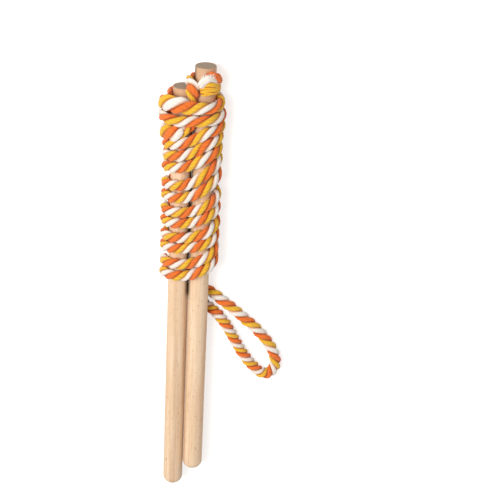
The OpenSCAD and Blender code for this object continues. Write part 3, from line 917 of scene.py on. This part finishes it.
class WAND_OT_stage(bpy.types.Operator):
    """Makes the table, the lamp, the sky and the camera"""

    bl_idname = "wand.stage"
    bl_label = "Set the stage"

    def execute(self, context):
        settings = context.scene.wand_stage
        context.scene.view_settings.view_transform = "Standard"
        mesh = bpy.data.meshes.new("table_top")
        corners = [(TABLE_REACH * x, TABLE_REACH * y, 0) for x, y in ((-1, -1), (1, -1), (1, 1), (-1, 1))]
        mesh.from_pydata(corners, [], [(0, 1, 2, 3)])
        mesh.materials.append(table_top("matt white table", settings.floor))
        table = object_from("table_top", mesh)

        lamp = bpy.data.lights.new("key_lamp", "AREA")
        lamp.shape = "SQUARE"
        lamp.size = LAMP_SIZE
        lamp.energy = settings.key_power
        key = object_from("key_lamp", lamp)
        key.location = LAMP_PLACE
        key.rotation_euler = (LAMP_AIM - LAMP_PLACE).to_track_quat("-Z", "Y").to_euler()

        world = bpy.data.worlds.new("soft_sky")
        world.use_nodes = True
        sky = world.node_tree.nodes["Background"]
        sky.inputs["Color"].default_value = (1, 1, 1, 1)
        sky.inputs["Strength"].default_value = settings.sky
        context.scene.world = world

        camera = bpy.data.cameras.new("camera")
        camera.lens = settings.lens
        camera.sensor_width = 36
        camera.clip_start = 0.05
        view = object_from("camera", camera)
        ahead = (CAMERA_AIM - CAMERA_PLACE).normalized()
        up = Vector((0, 1, 0))
        up = (up - up.dot(ahead) * ahead).normalized()
        right = ahead.cross(up)
        roll = math.radians(CAMERA_ROLL)
        across = right * math.cos(roll) + up * math.sin(roll)
        upward = up * math.cos(roll) - right * math.sin(roll)
        turned = Matrix((across, upward, -ahead)).transposed().to_4x4()
        view.matrix_world = Matrix.Translation(CAMERA_PLACE) @ turned
        context.scene.camera = view
        return {"FINISHED"}


class WAND_OT_free_loop(bpy.types.Operator):
    """Lays the free loop of rope on the table, from the right rope's end to the left's"""

    bl_idname = "wand.free_loop"
    bl_label = "Lay the free loop"

    def execute(self, context):
        settings = context.scene.wand_rope
        right, _, _, _, right_t = right_places()
        left, _, _, _, left_t = left_places()
        places = np.concatenate([right[-1:, :2], np.array(LOOP, float), left[-1:, :2]])
        count = LOOP_STEPS * (len(places) - 1)
        k = np.arange(count * ROWS_PER_RING + 1) / ROWS_PER_RING
        swell = smooth_step((np.minimum(k, count - k) - SWELL_START) / SWELL_RINGS)
        free = settings.free_diameter / MM / 2
        half_w = between(settings.wound_width / MM / 2, free, swell)
        half_t = between(settings.wound_thickness / MM / 2, free, swell)
        flat = eased(eased(through(places, k / LOOP_STEPS), BIGHT_EASE), BIGHT_EASE)
        middle = between(HALF_T, ROPE_R, swell) - FLOOR_FLAT * (1 - swell)
        centre = np.column_stack([flat, middle])
        run = run_of(centre)
        start = strand_turns(right_t[-1:], right_marks(right_t))[0]
        stop = -strand_turns(left_t[-1:], left_marks())[0]
        changed = smooth_step((run / run[-1] - LAY_CHANGE_START) / LAY_CHANGE)
        lay = settings.lay / MM * (LOOP_LAYS[0] + (LOOP_LAYS[1] - LOOP_LAYS[0]) * changed)
        laid = np.concatenate([[0], np.cumsum(np.diff(run) / lay[1:])])
        stop += round(start + laid[-1] - stop)
        turns = start + (stop - start) * laid / laid[-1]
        # The outward direction is down where the ropes leave the sticks, and stays so round the loop
        across, out = frames(centre, np.tile([0.0, 0.0, -1.0], (len(centre), 1)))
        skin = laid_skin(centre, across, out, half_w, half_t, turns, settings)
        piece = rope_mesh("free_loop_rope", [skin], strand_materials(RIGHT_ORDER))
        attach(piece, "root")
        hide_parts("free_loop")
        return {"FINISHED"}


def wound_rope(name, places, marks, opens, lanes, order, nodes, ends=()):
    """A rope from its unlaid end at a stick's tip through its winding. opens holds the places between
    which its strands come together, and ends more loose yarns."""
    settings = bpy.context.scene.wand_rope
    centre, out, width, thickness, t = (finer(v, ROWS_PER_RING) for v in places)
    across, out = frames(centre, out)
    turns = strand_turns(t, marks)
    half_w = settings.wound_width / MM / 2 * width
    half_t = settings.wound_thickness / MM / 2 * thickness
    openness = 1 - smooth_step((t - opens[0]) / (opens[1] - opens[0]))
    laid = np.flatnonzero(t >= opens[1])[0]
    route = centre, across, out, half_w, half_t, turns
    loose = [values[: laid + SKIN_OVERLAP] for values in route + (openness,)]
    in_lanes = [[row[: len(loose[0])] for row in lane[:3]] + [lane[3]] for lane in lanes(t)]
    skin = laid_skin(*(values[laid:] for values in route), settings, (True, False))
    parts = [*opened_strands(*loose, in_lanes), *ends, skin]
    piece = rope_mesh(name, parts, strand_materials(order))
    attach(piece, "root")
    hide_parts(*nodes)
    return piece


def left_lanes(t):
    """The left rope's end is narrow: only its orange strand comes up beside the tip."""
    return [
        [np.full(len(t), value) for value in lane] + [int(np.flatnonzero(t >= end)[0])]
        for lane, end in zip(LEFT_LANES, LEFT_ENDS)
    ]


def right_lanes(t):
    """The right rope's strands fan out from under its own arm: the yellow one spreads flat below, the
    white one stands up to a frayed peak, and the orange one comes out behind it and arches up."""
    places = right_places()[4]
    at = [places[round(2 * row)] for row in LANE_ROWS]
    return [
        [np.interp(t, at, values) for values in lane] + [round(last * ROWS_PER_RING)]
        for *lane, last in RIGHT_LANES
    ]


# The white strand's loose ends: how many, their half thickness and droop, and the edge of the peak on
# which they stand, in millimetres across the rope at rows of the hitch
PEAK_YARNS, PEAK_YARN, PEAK_DROOP = 54, 0.42, (0.0, 0.0, -0.15)
PEAK_ROWS, PEAK_EDGE, PEAK_MIDDLE = (1.9, 3.0, 3.9), (-4.2, -7.4, -6.4), 2.8


def scattered(k, rate, middle, reach):
    """A value for each number k: the middle plus the reach times the sine of the rate times k."""
    return middle + reach * np.sin(rate * k)


def white_peak():
    """Loose yarn ends of the white strand, which stand up towards the tip. Each has its root at a
    scattered place under the peak's edge, and leans away from the peak's middle."""
    k = np.arange(PEAK_YARNS)
    centre, out, _, _, _ = (finer(v, ROWS_PER_RING) for v in right_places())
    across, out = frames(centre, out)
    along = unit(np.gradient(centre, axis=0))
    place = scattered(k, 2.9, middle=2.9, reach=1.0)
    row = np.round(place * ROWS_PER_RING).astype(int)
    lift = 0.9 + 0.8 * np.cos(1.7 * k)
    edge = scattered(k, 4.3, middle=np.interp(place, PEAK_ROWS, PEAK_EDGE), reach=-0.8)
    lean_out = scattered(k, 3.1, middle=0.3, reach=0.25)
    lean_along = scattered(k, 2.3, middle=0.35 * (place - PEAK_MIDDLE), reach=0.3)
    roots = centre[row] + across[row] * edge[:, None] + out[row] * lift[:, None]
    ways = unit(-across[row] + out[row] * lean_out[:, None] + along[row] * lean_along[:, None])
    lengths = scattered(k, 6.7, middle=3.6, reach=1.0)
    return fray(roots, ways, lengths, np.array(PEAK_DROOP), PEAK_YARN, RIGHT_ORDER.index("white"))


class WAND_OT_left_rope(bpy.types.Operator):
    """Winds the left stick's end of the rope"""

    bl_idname = "wand.left_rope"
    bl_label = "Wind the left rope"

    def execute(self, context):
        wound_rope(
            "left_rope", left_places(), left_marks(), LEFT_LOOSE, left_lanes, LEFT_ORDER,
            ["left_tip_hitch", "left_rope_winding"],
        )
        return {"FINISHED"}


class WAND_OT_right_rope(bpy.types.Operator):
    """Winds the right stick's end of the rope"""

    bl_idname = "wand.right_rope"
    bl_label = "Wind the right rope"

    def execute(self, context):
        places = right_places()
        t = places[4]
        opens = [t[2 * row] for row in RIGHT_LOOSE]
        wound_rope(
            "right_rope", places, right_marks(t), opens, right_lanes, RIGHT_ORDER,
            ["right_tip_hitch", "right_rope_winding"], white_peak(),
        )
        return {"FINISHED"}


class WAND_OT_sticks(bpy.types.Operator):
    """Finishes the two sticks in bare beech"""

    bl_idname = "wand.sticks"
    bl_label = "Finish the sticks"

    def execute(self, context):
        wood = beech("bare sanded beech", context.scene.wand_sticks)
        for name in ("left_stick", "right_stick"):
            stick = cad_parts[name]
            if not stick.material_slots:
                raise RuntimeError(f"{name} has no material slot")
            for slot in stick.material_slots:
                slot.material = wood
        return {"FINISHED"}


class WAND_PT_panel(bpy.types.Panel):
    """Lists the steps that build the bubble wand"""

    bl_idname = "WAND_PT_panel"
    bl_label = "Bubble wand"
    bl_space_type = "VIEW_3D"
    bl_region_type = "UI"
    bl_category = "Bubble wand"

    def draw(self, context):
        for step in STEPS:
            self.layout.operator(step.bl_idname)
        for group in ("wand_rope", "wand_sticks", "wand_stage"):
            settings = getattr(context.scene, group)
            box = self.layout.box()
            for name in settings.bl_rna.properties.keys():
                if name not in ("rna_type", "name"):
                    box.prop(settings, name)


STEPS = (WAND_OT_stage, WAND_OT_free_loop, WAND_OT_left_rope, WAND_OT_right_rope, WAND_OT_sticks)
CLASSES = (RopeSettings, StickSettings, StageSettings) + STEPS + (WAND_PT_panel,)


def register():
    """Registers the classes and hangs their settings on the scene."""
    for cls in CLASSES:
        bpy.utils.register_class(cls)
    bpy.types.Scene.wand_rope = bpy.props.PointerProperty(type=RopeSettings)
    bpy.types.Scene.wand_sticks = bpy.props.PointerProperty(type=StickSettings)
    bpy.types.Scene.wand_stage = bpy.props.PointerProperty(type=StageSettings)


def unregister():
    """Takes the settings and the classes away again."""
    for name in ("wand_rope", "wand_sticks", "wand_stage"):
        delattr(bpy.types.Scene, name)
    for cls in reversed(CLASSES):
        bpy.utils.unregister_class(cls)


def main():
    """Registers the add-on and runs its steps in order."""
    register()
    bpy.ops.wand.stage()
    bpy.ops.wand.free_loop()
    bpy.ops.wand.left_rope()
    bpy.ops.wand.right_rope()
    bpy.ops.wand.sticks()


if __name__ == "__main__":
    main()
